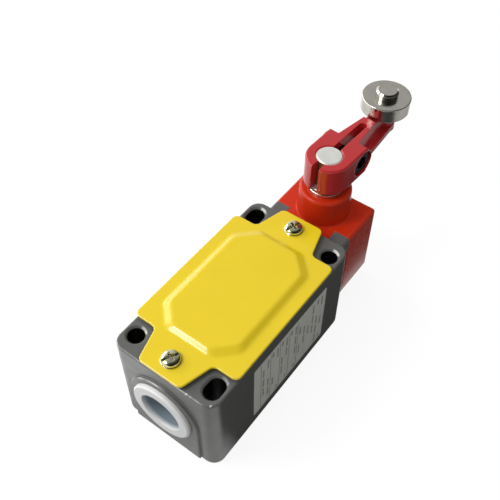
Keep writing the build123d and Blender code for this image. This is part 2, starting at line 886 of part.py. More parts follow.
save("housing", housing())
save("front_cover", front_cover())
save("cover_gasket", cover_gasket())
save("cover_screws", *cover_screws())
save("entry_plug", entry_plug())
save("head", head())
save("head_gasket", head_gasket())
save("head_screws", *head_screws())
save("shaft_bush", shaft_bush())
save("shaft_seal", shaft_seal())
save("shaft", shaft())
save("cam", cam())
save("cam_pin", cam_pin())
save("lever_spacer", lever_spacer())
save("lever_arm", lever_arm())
save("clamp_screw", clamp_screw())
save("roller_axle", roller_axle())
save("roller_washer", roller_washer())
save("roller", roller())
save("push_rod", push_rod())
save("head_spring", head_spring())
save("return_spring", return_spring())
save("contact_spring", contact_spring())
save("contact_carrier", contact_carrier())
save("bridge_bar", bridge_bar())
save("break_contacts", *[fixed_contact(s, break_tip_y, 1) for s in (-1, 1)])
save("make_contacts", *[fixed_contact(s, make_tip_y, -1) for s in (-1, 1)])
save("contact_block", contact_block())
save("block_lid", block_lid())
save("block_screws", *block_screws())
save("terminal_clamps", *terminal_clamps())
save("terminal_screws", *terminal_screws())
save("earth_screw", earth_screw())
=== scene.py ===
import json
import math

import bmesh
import bpy
from mathutils import Matrix, Vector

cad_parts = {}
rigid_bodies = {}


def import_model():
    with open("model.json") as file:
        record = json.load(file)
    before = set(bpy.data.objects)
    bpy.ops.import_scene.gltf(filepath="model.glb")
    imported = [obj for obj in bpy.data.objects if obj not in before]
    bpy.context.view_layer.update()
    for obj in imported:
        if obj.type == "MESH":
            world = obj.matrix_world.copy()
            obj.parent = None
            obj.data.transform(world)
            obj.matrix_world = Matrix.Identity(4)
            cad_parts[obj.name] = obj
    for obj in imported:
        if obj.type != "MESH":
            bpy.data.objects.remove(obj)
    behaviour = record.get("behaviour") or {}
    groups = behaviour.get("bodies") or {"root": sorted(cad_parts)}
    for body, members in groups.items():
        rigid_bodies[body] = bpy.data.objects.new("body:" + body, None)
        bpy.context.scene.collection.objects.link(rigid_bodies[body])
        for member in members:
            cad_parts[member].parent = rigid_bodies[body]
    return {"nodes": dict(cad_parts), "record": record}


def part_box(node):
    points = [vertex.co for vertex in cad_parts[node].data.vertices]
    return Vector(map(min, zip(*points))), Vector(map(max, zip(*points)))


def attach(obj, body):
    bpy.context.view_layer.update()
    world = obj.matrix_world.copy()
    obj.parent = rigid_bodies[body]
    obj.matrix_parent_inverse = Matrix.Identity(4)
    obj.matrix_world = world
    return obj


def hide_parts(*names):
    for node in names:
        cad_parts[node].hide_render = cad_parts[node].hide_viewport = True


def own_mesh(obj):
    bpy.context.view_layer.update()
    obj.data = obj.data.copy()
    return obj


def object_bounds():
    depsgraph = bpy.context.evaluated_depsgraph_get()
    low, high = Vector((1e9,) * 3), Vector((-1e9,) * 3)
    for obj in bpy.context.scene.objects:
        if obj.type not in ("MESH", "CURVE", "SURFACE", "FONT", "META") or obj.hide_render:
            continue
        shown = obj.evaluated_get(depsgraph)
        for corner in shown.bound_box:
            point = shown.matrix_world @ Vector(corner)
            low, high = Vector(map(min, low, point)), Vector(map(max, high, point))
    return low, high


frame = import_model()
cad_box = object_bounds()

# Units: metres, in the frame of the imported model
MM = 0.001

# Camera, fitted to the photograph's viewing angle
VIEW_AZIMUTH = 36.4
VIEW_ELEVATION = 50.26
VIEW_ROLL = 0.27
VIEW_OFFSET = Vector((-4.24, 37.67, 253.13)) * MM
LENS = 51.75
SENSOR = 36.0

# Studio: each lamp as direction, distance, width, height and power
AIM = Vector((0.0, 0.01, 0.03))
LAMPS = {
    "key": (Vector((-0.42, -0.50, 0.76)), 0.6, 0.17, 0.17, 1.1),
    "window": (Vector((-0.90, -0.15, 0.44)), 0.6, 0.80, 0.20, 1.5),
}
SKY_FROM = Vector((-0.30, -0.16, 0.94)).normalized()
SKY_LIGHT = (-0.3, 1.0, 0.06, 1.09)

# What polished faces see of the room, each as a range of direction and the levels at its ends
CEILING = (0.3, 0.8, 1.0, 0.40)
CAMERA_SIDE = Vector((0.379, -0.514, 0.769)).normalized()
DARK_CAMERA_SIDE = (0.74, 0.92, 1.0, 0.04)
DARK_RIGHT = (0.0, 0.4, 1.0, 0.05)
DARK_REAR = (0.72, 0.94, 1.0, 0.12)

# Floor: its grey under the lamps, and its grey and glow for the camera
FLOOR_SIZE = 4.0
FLOOR_DROP = 0.1 * MM
FLOOR_LIT = (0.24, 0.24, 0.24, 1.0)
FLOOR_SHADED = (0.16, 0.16, 0.16, 1.0)
FLOOR_GLOW = 0.88

# What polished faces see of the floor, in steps across it: from, to, and the level at each. This sheen is
# painted light on the floor, seen only in reflections
FLOOR_ACROSS = Vector((0.805, 0.593, 0.0))
FLOOR_SHEEN = [
    (-0.050, -0.034, 1.45, 0.75),
    (-0.012, -0.004, 0.0, 0.30),
]
# Beside the right flank the sheen falls to FLOOR_BESIDE: a painted shadow of the object on the floor, seen
# only in reflections
FLOOR_BESIDE_X = (0.0175, 0.0195, 0.0, 1.0)
FLOOR_BESIDE_Y = (-0.034, -0.024, 0.0, 1.0)
FLOOR_BESIDE = 0.05
FLOOR_FAR = (0.094, 0.112, 0.0, 0.42)

# Label plate on the right flank of the housing
LABEL_FRONT = -16.9 * MM
LABEL_REAR = 22.6 * MM
LABEL_BOTTOM = 5.0 * MM
LABEL_TOP = 32.2 * MM
LABEL_THICK = 0.12 * MM
LABEL_CORNER = 0.5 * MM

# Mounting holes of the housing: their walls take a painted shade, near black, from a depth under the cover
HOLE_X = 15.0 * MM
HOLE_Y = 30.0 * MM
HOLE_REACH = 3.95 * MM
HOLE_FADE = 0.1 * MM
HOLE_SHADE_FROM = 2.3 * MM
HOLE_SHADE_TO = 1.7 * MM

# Small bare chips on the front edge of the housing
CHIPS = [(9.7 * MM, -36.3 * MM), (11.2 * MM, -36.3 * MM), (17.55 * MM, -35.1 * MM)]
CHIP_RADIUS = 0.30 * MM
CHIP_DROP = 1.35 * MM

# Cup of the entry plug: where its painted shade sets in along the axis, and fades out from the axis
CUP_SHADE_DEPTH = (0.4 * MM, 1.8 * MM)
CUP_SHADE_RADIUS = (7.6 * MM, 8.2 * MM)


# Node helpers

def feed(tree, socket, value):
    """Link a socket to another one, or set its value."""
    if isinstance(value, bpy.types.NodeSocket):
        tree.links.new(value, socket)
    else:
        socket.default_value = value


def add(tree, kind, **settings):
    """A node with its properties or inputs set by name."""
    node = tree.nodes.new(kind)
    for key, value in settings.items():
        if hasattr(node, key):
            setattr(node, key, value)
        else:
            feed(tree, node.inputs[key.replace("_", " ")], value)
    return node


def calc(tree, operation, *values):
    """One step of arithmetic on numbers or sockets."""
    node = add(tree, "ShaderNodeMath", operation=operation)
    for socket, value in zip(node.inputs, values):
        feed(tree, socket, value)
    return node.outputs["Value"]


def parted(tree, vector):
    """X, Y and Z of a vector."""
    node = tree.nodes.new("ShaderNodeSeparateXYZ")
    tree.links.new(vector, node.inputs["Vector"])
    return node.outputs["X"], node.outputs["Y"], node.outputs["Z"]


def joined(tree, x, y, z):
    """Vector of three numbers or sockets."""
    node = tree.nodes.new("ShaderNodeCombineXYZ")
    for socket, value in zip(node.inputs, (x, y, z)):
        feed(tree, socket, value)
    return node.outputs["Vector"]


def distance(tree, vector, point):
    """How far a vector lies from a fixed point."""
    node = add(tree, "ShaderNodeVectorMath", operation="DISTANCE")
    tree.links.new(vector, node.inputs[0])
    node.inputs[1].default_value = point
    return node.outputs["Value"]


def along(tree, vector, direction):
    """Share of a vector along a fixed direction."""
    node = add(tree, "ShaderNodeVectorMath", operation="DOT_PRODUCT")
    tree.links.new(vector, node.inputs[0])
    node.inputs[1].default_value = direction
    return node.outputs["Value"]


def start(name, color, roughness, metallic=0.0):
    """A material with one Principled shader."""
    material = bpy.data.materials.new(name)
    material.use_nodes = True
    tree = material.node_tree
    tree.nodes.clear()
    output = tree.nodes.new("ShaderNodeOutputMaterial")
    surface = tree.nodes.new("ShaderNodeBsdfPrincipled")
    surface.inputs["Base Color"].default_value = (*color, 1.0)
    surface.inputs["Roughness"].default_value = roughness
    surface.inputs["Metallic"].default_value = metallic
    tree.links.new(surface.outputs["BSDF"], output.inputs["Surface"])
    return material, tree, surface


def places(tree, scale=(1.0, 1.0, 1.0), centre=(0.0, 0.0, 0.0)):
    """Object coordinates, scaled or centred."""
    source = tree.nodes.new("ShaderNodeTexCoord")
    mapping = add(tree, "ShaderNodeMapping", vector_type="POINT")
    mapping.inputs["Location"].default_value = [-c * s for c, s in zip(centre, scale)]
    mapping.inputs["Scale"].default_value = scale
    tree.links.new(source.outputs["Object"], mapping.inputs["Vector"])
    return mapping.outputs["Vector"]


def noise(tree, scale, detail=3.0, rough=0.5, stretch=(1.0, 1.0, 1.0)):
    """Value between 0 and 1 that wanders over the surface."""
    field = add(tree, "ShaderNodeTexNoise", Scale=scale, Detail=detail, Roughness=rough)
    tree.links.new(places(tree, stretch), field.inputs["Vector"])
    return field.outputs["Fac"]


def ranged(tree, value, low, high, out_low, out_high):
    """Map a value from one range to another, clamped."""
    node = tree.nodes.new("ShaderNodeMapRange")
    for socket, number in zip(("From Min", "From Max", "To Min", "To Max"), (low, high, out_low, out_high)):
        node.inputs[socket].default_value = number
    tree.links.new(value, node.inputs["Value"])
    return node.outputs["Result"]


def blended(tree, factor, first, second):
    """Colour between two colours or sockets."""
    node = add(tree, "ShaderNodeMix", data_type="RGBA")
    tree.links.new(factor, node.inputs["Factor"])
    for socket, value in ((node.inputs[6], first), (node.inputs[7], second)):
        if isinstance(value, bpy.types.NodeSocket):
            tree.links.new(value, socket)
        else:
            socket.default_value = (*value, 1.0)
    return node.outputs[2]


def shade(color, factor):
    """Colour made lighter or darker."""
    return tuple(min(1.0, c * factor) for c in color)


def soft_edge(tree, radius):
    """Normal that rounds sharp edges by a small radius."""
    return add(tree, "ShaderNodeBevel", samples=6, Radius=radius).outputs["Normal"]


def bump(tree, height, distance, normal=None):
    """Normal of fine relief, of a height in metres, over another normal."""
    node = add(tree, "ShaderNodeBump", Strength=1.0, Distance=distance)
    tree.links.new(height, node.inputs["Height"])
    if normal is not None:
        tree.links.new(normal, node.inputs["Normal"])
    return node.outputs["Normal"]


def edge_mask(tree, radius, low, high):
    """1 along sharp outer edges, 0 on flats."""
    bevel = add(tree, "ShaderNodeBevel", samples=8, Radius=radius)
    geometry = tree.nodes.new("ShaderNodeNewGeometry")
    dot = add(tree, "ShaderNodeVectorMath", operation="DOT_PRODUCT")
    tree.links.new(bevel.outputs["Normal"], dot.inputs[0])
    tree.links.new(geometry.outputs["Normal"], dot.inputs[1])
    return ranged(tree, dot.outputs["Value"], high, low, 0.0, 1.0)


# Finishes

def paint(name, color, roughness, grain=900.0, grain_height=0.02 * MM, unevenness=0.05,
          edge=0.25 * MM, edge_highlight=1.0, coat=0.0, coat_roughness=0.1, mirror=0.5):
    """Paint on metal: faint colour drift, orange peel, a softened edge, and a painted highlight along sharp
    edges as lighter colour, where the edge factor is not 1.
    """
    material, tree, surface = start(name, color, roughness)
    drift = ranged(tree, noise(tree, 70.0), 0.3, 0.7, 0.0, 1.0)
    tone = blended(tree, drift, shade(color, 1.0 - unevenness), shade(color, 1.0 + unevenness))
    # Painted highlight: sharp edges take a lighter colour, standing in for light caught on them
    if edge_highlight != 1.0:
        tone = blended(tree, edge_mask(tree, edge, 0.80, 0.97), tone, shade(color, edge_highlight))
    tree.links.new(tone, surface.inputs["Base Color"])
    gloss = ranged(tree, noise(tree, 240.0), 0.3, 0.7, roughness * 0.85, roughness * 1.15)
    tree.links.new(gloss, surface.inputs["Roughness"])
    peel = bump(tree, noise(tree, grain, 2.0), grain_height, soft_edge(tree, edge))
    tree.links.new(peel, surface.inputs["Normal"])
    surface.inputs["Specular IOR Level"].default_value = mirror
    surface.inputs["Coat Weight"].default_value = coat
    surface.inputs["Coat Roughness"].default_value = coat_roughness
    return material


def opened(material):
    """Nodes, shader and present colour of a finish that is worked further."""
    tree = material.node_tree
    surface = next(node for node in tree.nodes if node.type == "BSDF_PRINCIPLED")
    return tree, surface, surface.inputs["Base Color"].links[0].from_socket


def painted_fillet_highlight(tree, facing, tone, highlight_tone, least):
    """Painted highlight: lighter colour along the rounded edges that face a direction, standing in for
    light caught there.
    """
    normal = tree.nodes.new("ShaderNodeNewGeometry").outputs["Normal"]
    upright = ranged(tree, parted(tree, normal)[2], 0.9, 0.8, 0.0, 1.0)
    lit_fillet = calc(tree, "MULTIPLY", ranged(tree, along(tree, normal, facing), 0.93, 0.97, 0.0, 1.0), upright)
    uneven = ranged(tree, noise(tree, 260.0, 2.0), 0.4, 0.6, least, 1.0)
    return blended(tree, calc(tree, "MULTIPLY", lit_fillet, uneven), tone, highlight_tone)


def painted_casting(name, color, roughness):
    """Housing paint: a painted shade, near black, on the mounting hole walls; a painted highlight along
    sharp edges and along the rounded edges that face up and to the front-left; and chips on the front edge.
    """
    # Painted highlight: sharp edges take 2.2 times the paint's colour
    material = paint(name, color, roughness, 1300.0, 0.008 * MM, 0.03, 0.45 * MM, 2.2)
    tree, surface, tone = opened(material)
    place = places(tree)
    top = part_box("front_cover")[0].z
    x, y, z = parted(tree, place)
    quarter = joined(tree, calc(tree, "ABSOLUTE", x), calc(tree, "ABSOLUTE", y), 0.0)
    from_hole = distance(tree, quarter, (HOLE_X, HOLE_Y, 0.0))
    near = ranged(tree, from_hole, HOLE_REACH, HOLE_REACH + HOLE_FADE, 1.0, 0.0)
    sunk = ranged(tree, z, top - HOLE_SHADE_FROM, top - HOLE_SHADE_TO, 1.0, 0.0)
    # Painted shade: near-black colour on the hole walls below a depth under the cover, where shade falls
    tone = blended(tree, calc(tree, "MULTIPLY", near, sunk), tone, (0.004, 0.004, 0.004))
    # Painted highlight: light grey on the rounded edges that face up and to the front-left, towards the key
    # lamp
    tone = painted_fillet_highlight(tree, (-0.25, -0.65, 0.72), tone, (0.62, 0.62, 0.58), 0.25)
    uneven = ranged(tree, noise(tree, 1500.0, 2.0), 0.35, 0.65, 0.5, 1.4)
    for cx, cy in CHIPS:
        gap = distance(tree, place, (cx, cy, top - CHIP_DROP))
        chip = ranged(tree, calc(tree, "MULTIPLY", gap, uneven), CHIP_RADIUS * 0.7, CHIP_RADIUS, 1.0, 0.0)
        tone = blended(tree, chip, tone, (0.60, 0.60, 0.56))
    tree.links.new(tone, surface.inputs["Base Color"])
    return material


def painted_sheet(name, color, roughness):
    """Glossy cover paint, with a painted highlight along the pressed and cut edges: pale yellow where they
    face up towards the left and front, and slightly lighter along all sharp edges.
    """
    material = paint(name, color, roughness, 700.0, 0.008 * MM, 0.02, 0.35 * MM, 1.1, 0.3, 0.12)
    tree, surface, tone = opened(material)
    # Painted highlight on the rounded edges that face the two light directions
    for facing in ((-0.55, -0.25, 0.80), (-0.10, -0.62, 0.78)):
        tone = painted_fillet_highlight(tree, facing, tone, (0.97, 0.84, 0.33), 0.45)
    tree.links.new(tone, surface.inputs["Base Color"])
    return material


def metal(name, color, roughness, grain=1200.0, grain_height=0.01 * MM, drift_amount=0.08,
          edge=0.15 * MM):
    """Bare or plated metal with fine scratches and uneven gloss."""
    material, tree, surface = start(name, color, roughness, 1.0)
    drift = ranged(tree, noise(tree, 160.0, 4.0), 0.3, 0.7, 0.0, 1.0)
    tone = blended(tree, drift, shade(color, 1.0 - drift_amount), shade(color, 1.0 + drift_amount))
    tree.links.new(tone, surface.inputs["Base Color"])
    gloss = ranged(tree, noise(tree, 500.0), 0.3, 0.7, roughness * 0.75, roughness * 1.25)
    tree.links.new(gloss, surface.inputs["Roughness"])
    fine = bump(tree, noise(tree, grain, 3.0, 0.6), grain_height, soft_edge(tree, edge))
    tree.links.new(fine, surface.inputs["Normal"])
    return material


def turned_metal(name, color, roughness, centre, pitch=0.35 * MM, ring_height=0.006 * MM, edge=0.15 * MM,
                 metallic=1.0):
    """Metal turned about a vertical axis, with faint concentric tool marks."""
    material, tree, surface = start(name, color, roughness, metallic)
    rings = add(tree, "ShaderNodeTexWave", wave_type="RINGS", rings_direction="Z",
                Scale=0.314 / pitch, Distortion=1.5, Detail=2.0)
    tree.links.new(places(tree, centre=centre), rings.inputs["Vector"])
    drift = ranged(tree, noise(tree, 260.0, 4.0), 0.3, 0.7, 0.0, 1.0)
    tone = blended(tree, drift, shade(color, 0.93), shade(color, 1.06))
    tree.links.new(tone, surface.inputs["Base Color"])
    gloss = ranged(tree, noise(tree, 700.0), 0.3, 0.7, roughness * 0.8, roughness * 1.25)
    tree.links.new(gloss, surface.inputs["Roughness"])
    marks = bump(tree, rings.outputs["Fac"], ring_height, soft_edge(tree, edge))
    tree.links.new(marks, surface.inputs["Normal"])
    return material


def axis_of(node):
    """Centre of a turned node, in the frame."""
    low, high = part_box(node)
    return ((low.x + high.x) / 2, (low.y + high.y) / 2, (low.z + high.z) / 2)


def shaft_steel():
    """Bright end face, and dark brown colour on the faces that do not face up."""
    material = turned_metal("turned_steel", (0.86, 0.86, 0.81), 0.5, axis_of("shaft"), metallic=0.4)
    tree, surface, tone = opened(material)
    upright = parted(tree, tree.nodes.new("ShaderNodeNewGeometry").outputs["Normal"])[2]
    tone = blended(tree, ranged(tree, upright, 0.3, 0.7, 0.0, 1.0), (0.22, 0.10, 0.05), tone)
    tree.links.new(tone, surface.inputs["Base Color"])
    return material


def rubber(name, color):
    """Matte rubber with a fine skin."""
    material, tree, surface = start(name, color, 0.7)
    skin = bump(tree, noise(tree, 2200.0, 3.0), 0.02 * MM)
    tree.links.new(skin, surface.inputs["Normal"])
    tone = blended(tree, noise(tree, 300.0), shade(color, 0.8), shade(color, 1.3))
    tree.links.new(tone, surface.inputs["Base Color"])
    return material


def moulding(name, color, roughness, grain_height=0.015 * MM):
    """Moulded plastic with a slight grain and uneven gloss."""
    material, tree, surface = start(name, color, roughness)
    tone = blended(tree, noise(tree, 120.0), shade(color, 0.92), shade(color, 1.06))
    tree.links.new(tone, surface.inputs["Base Color"])
    gloss = ranged(tree, noise(tree, 400.0), 0.3, 0.7, roughness * 0.85, roughness * 1.15)
    tree.links.new(gloss, surface.inputs["Roughness"])
    grain = bump(tree, noise(tree, 1500.0, 3.0), grain_height, soft_edge(tree, 0.2 * MM))
    tree.links.new(grain, surface.inputs["Normal"])
    return material


def milky_plug():
    """Translucent white plug with turned-looking rings round its axis, and a painted shade, bluish grey,
    inside its cup.
    """
    low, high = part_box("entry_plug")
    centre = ((low.x + high.x) / 2, 0.0, (low.z + high.z) / 2)
    color = (0.90, 0.905, 0.895)
    material, tree, surface = start("milky_plastic", color, 0.38)
    source = places(tree, centre=centre)
    rings = add(tree, "ShaderNodeTexWave", wave_type="RINGS", rings_direction="Y", Scale=260.0,
                Distortion=0.6, Detail=1.0)
    tree.links.new(source, rings.inputs["Vector"])
    faint = ranged(tree, rings.outputs["Fac"], 0.0, 1.0, 0.0, 0.5)
    tone = blended(tree, faint, color, shade(color, 0.86))
    along_axis = parted(tree, places(tree))[1]
    depth = ranged(tree, along_axis, *(low.y + reach for reach in CUP_SHADE_DEPTH), 0.0, 1.0)
    radius = add(tree, "ShaderNodeVectorMath", operation="LENGTH")
    flat = add(tree, "ShaderNodeMapping", vector_type="POINT")
    flat.inputs["Scale"].default_value = (1.0, 0.0, 1.0)
    tree.links.new(source, flat.inputs["Vector"])
    tree.links.new(flat.outputs["Vector"], radius.inputs[0])
    inside = ranged(tree, radius.outputs["Value"], *CUP_SHADE_RADIUS, 1.0, 0.0)
    # Painted shade: bluish grey inside the cup, where shade falls
    tone = blended(tree, calc(tree, "MULTIPLY", depth, inside), tone, (0.24, 0.295, 0.335))
    tree.links.new(tone, surface.inputs["Base Color"])
    surface.inputs["Subsurface Weight"].default_value = 0.25
    surface.inputs["Subsurface Radius"].default_value = (1.0, 1.0, 1.0)
    surface.inputs["Subsurface Scale"].default_value = 1.2 * MM
    marks = bump(tree, rings.outputs["Fac"], 0.02 * MM, soft_edge(tree, 0.3 * MM))
    tree.links.new(marks, surface.inputs["Normal"])
    return material


def label_foil():
    """Satin foil of the bare label plate."""
    color = (0.80, 0.81, 0.74)
    material, tree, surface = start("label_foil", color, 0.5)
    brushed = noise(tree, 900.0, 3.0, 0.6, (1.0, 1.0, 0.06))
    tone = blended(tree, ranged(tree, brushed, 0.3, 0.7, 0.0, 1.0), shade(color, 0.93), shade(color, 1.06))
    tree.links.new(tone, surface.inputs["Base Color"])
    fine = bump(tree, brushed, 0.006 * MM, soft_edge(tree, 0.05 * MM))
    tree.links.new(fine, surface.inputs["Normal"])
    return material


def printed_ink():
    """Dark ink of the rules and bars."""
    color = (0.20, 0.20, 0.185)
    material, tree, surface = start("label_ink", color, 0.5)
    tone = blended(tree, noise(tree, 900.0), shade(color, 0.8), shade(color, 1.4))
    tree.links.new(tone, surface.inputs["Base Color"])
    return material


FINISHES = {
    "grey_casting": painted_casting("grey_casting_paint", (0.125, 0.126, 0.120), 0.33),
    "yellow_cover": painted_sheet("yellow_powder_coat", (0.86, 0.64, 0.015), 0.21),
    # The red and crimson paints carry a painted highlight: 1.25 times lighter colour along sharp edges
    "red_casting": paint("orange_red_paint", (0.62, 0.030, 0.005), 0.28, 900.0, 0.008 * MM, 0.03,
                         0.4 * MM, 1.25, mirror=0.32),
    "crimson_casting": paint("crimson_paint", (0.52, 0.022, 0.026), 0.24, 900.0, 0.008 * MM, 0.03,
                             0.35 * MM, 1.25, 0.35, 0.12),
    "black_rubber": rubber("gasket_rubber", (0.008, 0.008, 0.008)),
    "yellow_zinc": metal("yellow_zinc_plate", (0.74, 0.73, 0.50), 0.16),
    "white_plug": milky_plug(),
    "bright_steel": shaft_steel(),
    "bush_bronze": turned_metal("bush_metal", (0.82, 0.80, 0.74), 0.24, axis_of("shaft")),
    "black_steel": metal("black_oxide_steel", (0.020, 0.020, 0.022), 0.35),
    "nickel": turned_metal("nickel_plate", (0.66, 0.64, 0.575), 0.19, axis_of("roller"),
                           ring_height=0.002 * MM),
    "black_moulding": moulding("phenolic_moulding", (0.022, 0.022, 0.024), 0.4),
    "ivory_moulding": moulding("ivory_polyamide", (0.70, 0.66, 0.54), 0.45),
    "contact_brass": metal("contact_brass_strip", (0.80, 0.62, 0.30), 0.25),
    "spring_steel": metal("spring_wire", (0.55, 0.55, 0.55), 0.25),
}

for subpart in frame["record"]["subparts"]:
    piece = frame["nodes"][subpart["node"]]
    finish = FINISHES[subpart["material_slot"]]
    if not piece.material_slots:
        piece.data.materials.append(finish)
    for holder in piece.material_slots:
        holder.material = finish


# Pieces made here

SPRING_WELD = 0.0001 * MM
CUT_WELD = 0.0002 * MM


def new_piece(name, mesh, finish, body):
    """Object for a mesh, with its finish, on the body that carries it."""
    piece = bpy.data.objects.new(name, mesh)
    bpy.context.scene.collection.objects.link(piece)
    if not mesh.materials:
        mesh.materials.append(finish)
    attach(piece, body)
    return piece


def rounded_outline(y0, y1, z0, z1, radius, steps=4):
    """Corner-rounded rectangle in the YZ plane, as (y, z) points."""
    points = []
    for cy, cz, turn in ((y1, z1, 0), (y0, z1, 90), (y0, z0, 180), (y1, z0, 270)):
        sy = 1 if cy == y1 else -1
        sz = 1 if cz == z1 else -1
        for step in range(steps + 1):
            angle = math.radians(turn + 90 * step / steps)
            points.append((cy - sy * radius + radius * math.cos(angle),
                           cz - sz * radius + radius * math.sin(angle)))
    return points


def label_plate():
    """Thin foil plate stuck to the right flank."""
    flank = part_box("housing")[1].x
    outline = rounded_outline(LABEL_FRONT, LABEL_REAR, LABEL_BOTTOM, LABEL_TOP, LABEL_CORNER)
    points = [(x, y, z) for x in (flank, flank + LABEL_THICK) for y, z in outline]
    count = len(outline)
    faces = [tuple(reversed(range(count))), tuple(range(count, 2 * count))]
    for near in range(count):
        far = (near + 1) % count
        faces.append((near, far, far + count, near + count))
    mesh = bpy.data.meshes.new("label_plate")
    mesh.from_pydata(points, [], faces)
    return new_piece("label_plate", mesh, label_foil(), "body")


def welded(mesh, reach, drop_flats=False):
    """Join the points that lie together, and drop the faces without area between them."""
    shape = bmesh.new()
    shape.from_mesh(mesh)
    bmesh.ops.remove_doubles(shape, verts=shape.verts, dist=reach)
    if drop_flats:
        bmesh.ops.dissolve_degenerate(shape, edges=shape.edges, dist=reach)
    shape.to_mesh(mesh)
    shape.free()
    return mesh


def live_spring(node, joint):
    """Copy of a spring, welded, on the body of its joint's parent, in place of the CAD one."""
    mesh = welded(frame["nodes"][node].data.copy(), SPRING_WELD)
    piece = new_piece(node + "_live", mesh, FINISHES["spring_steel"], joint["parent"])
    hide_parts(node)
    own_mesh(piece)


label_plate()
for moving in frame["record"]["behaviour"]["joints"]:
    for entry in moving.get("deforming_nodes", []):
        live_spring(entry["node"], moving)


# Pieces made with Geometry Nodes

def sized_tree(name, sizes):
    """A Geometry Nodes tree with one named input for each size, and one for the finish."""
    tree = bpy.data.node_groups.new(name, "GeometryNodeTree")
    tree.interface.new_socket("Geometry", in_out="OUTPUT", socket_type="NodeSocketGeometry")
    for label, value in sizes.items():
        kind = "NodeSocketInt" if isinstance(value, int) else "NodeSocketFloat"
        tree.interface.new_socket(label, in_out="INPUT", socket_type=kind)
    tree.interface.new_socket("Finish", in_out="INPUT", socket_type="NodeSocketMaterial")
    return tree, tree.nodes.new("NodeGroupInput").outputs


def finished(tree, geometry, finish):
    """End a tree with real meshes in their finish."""
    real = add(tree, "GeometryNodeRealizeInstances", Geometry=geometry)
    coated = add(tree, "GeometryNodeSetMaterial", Geometry=real.outputs["Geometry"], Material=finish)
    output = tree.nodes.new("NodeGroupOutput")
    tree.links.new(coated.outputs["Geometry"], output.inputs["Geometry"])


def built(tree, sizes, finish):
    """Plain mesh that a tree gives for its sizes."""
    holder = bpy.data.objects.new(tree.name, bpy.data.meshes.new(tree.name))
    bpy.context.scene.collection.objects.link(holder)
    modifier = holder.modifiers.new(tree.name, "NODES")
    modifier.node_group = tree
    for item in tree.interface.items_tree:
        if item.in_out == "INPUT":
            modifier[item.identifier] = finish if item.name == "Finish" else sizes[item.name]
    graph = bpy.context.evaluated_depsgraph_get()
    mesh = bpy.data.meshes.new_from_object(holder.evaluated_get(graph), depsgraph=graph)
    holder.modifiers.remove(modifier)
    bpy.data.objects.remove(holder)
    return welded(mesh, CUT_WELD, drop_flats=True)


def block(tree, x, y, z, lift=0.0):
    """Box of the given size, raised by lift."""
    cube = add(tree, "GeometryNodeMeshCube", Size=joined(tree, x, y, z))
    moved = add(tree, "GeometryNodeTransform", Geometry=cube.outputs["Mesh"])
    feed(tree, moved.inputs["Translation"], joined(tree, 0.0, 0.0, lift))
    return moved.outputs["Geometry"]


def carved(tree, mesh, tools, operation):
    """Mesh joined with, or cut by, a list of others."""
    cut = add(tree, "GeometryNodeMeshBoolean", operation=operation, solver="EXACT")
    if operation == "DIFFERENCE":
        tree.links.new(mesh, cut.inputs["Mesh 1"])
    else:
        tools = [mesh, *tools]
    for source in tools:
        tree.links.new(source, cut.inputs["Mesh 2"])
    return cut.outputs["Mesh"]


def crisp(tree, mesh, limit):
    """Smooth faces with sharp edges where they fold by more than a limit."""
    faces = add(tree, "GeometryNodeSetShadeSmooth", domain="FACE", Geometry=mesh)
    fold = tree.nodes.new("GeometryNodeInputMeshEdgeAngle").outputs["Unsigned Angle"]
    edges = add(tree, "GeometryNodeSetShadeSmooth", domain="EDGE", Geometry=faces.outputs["Geometry"])
    tree.links.new(calc(tree, "LESS_THAN", fold, limit), edges.inputs["Shade Smooth"])
    return edges.outputs["Geometry"]


# Cover screws. The lip ends between two shares of the head's height
SCREW_SEAT_DROP = 2.0 * MM
SHANK_OVERLAP = 0.3 * MM
LIP_END = (0.36, 0.48)
SLOT_REACH = 8.0 * MM
CROSS_NARROW = 0.55
SHARP_FOLD = math.radians(35)
SCREW_SIZES = {
    "Dome radius": 2.98 * MM,
    "Lip radius": 3.2 * MM,
    "Height": SCREW_SEAT_DROP,
    "Side height": 0.85 * MM,
    "Shank radius": 2.0 * MM,
    "Slot width": 0.95 * MM,
    "Slot depth": 1.0 * MM,
    "Cross width": 1.05 * MM,
    "Cross length": 4.0 * MM,
    "Cross depth": 1.5 * MM,
    "First turn": math.radians(61),
    "Turn step": math.radians(7),
    "Around": 72,
    "Rings": 9,
}


def domed_head(tree, size):
    """Domed head on a thin lip, shaped from a cylinder."""
    blank = add(tree, "GeometryNodeMeshCylinder", fill_type="TRIANGLE_FAN", Vertices=size["Around"],
                Side_Segments=6, Fill_Segments=size["Rings"], Radius=size["Dome radius"],
                Depth=size["Height"])
    x, y, z = parted(tree, tree.nodes.new("GeometryNodeInputPosition").outputs["Position"])
    level = calc(tree, "ADD", calc(tree, "DIVIDE", z, size["Height"]), 0.5)
    radius = distance(tree, joined(tree, x, y, 0.0), (0.0, 0.0, 0.0))
    angle = calc(tree, "MULTIPLY", calc(tree, "DIVIDE", radius, size["Dome radius"]), math.pi / 2)
    reach = calc(tree, "MULTIPLY", calc(tree, "SINE", angle), size["Dome radius"])
    spread = calc(tree, "DIVIDE", reach, radius)
    flare = calc(tree, "SUBTRACT", calc(tree, "DIVIDE", size["Lip radius"], size["Dome radius"]), 1.0)
    lip = calc(tree, "MULTIPLY", flare, ranged(tree, level, *LIP_END, 1.0, 0.0))
    spread = calc(tree, "MULTIPLY", spread, calc(tree, "ADD", lip, 1.0))
    rise = calc(tree, "SUBTRACT", size["Height"], size["Side height"])
    crown = calc(tree, "MULTIPLY", calc(tree, "COSINE", angle), rise)
    top = calc(tree, "MULTIPLY", level, calc(tree, "ADD", size["Side height"], crown))
    place = joined(tree, calc(tree, "MULTIPLY", x, spread), calc(tree, "MULTIPLY", y, spread), top)
    shaped = add(tree, "GeometryNodeSetPosition", Geometry=blank.outputs["Mesh"], Position=place)
    return shaped.outputs["Geometry"]


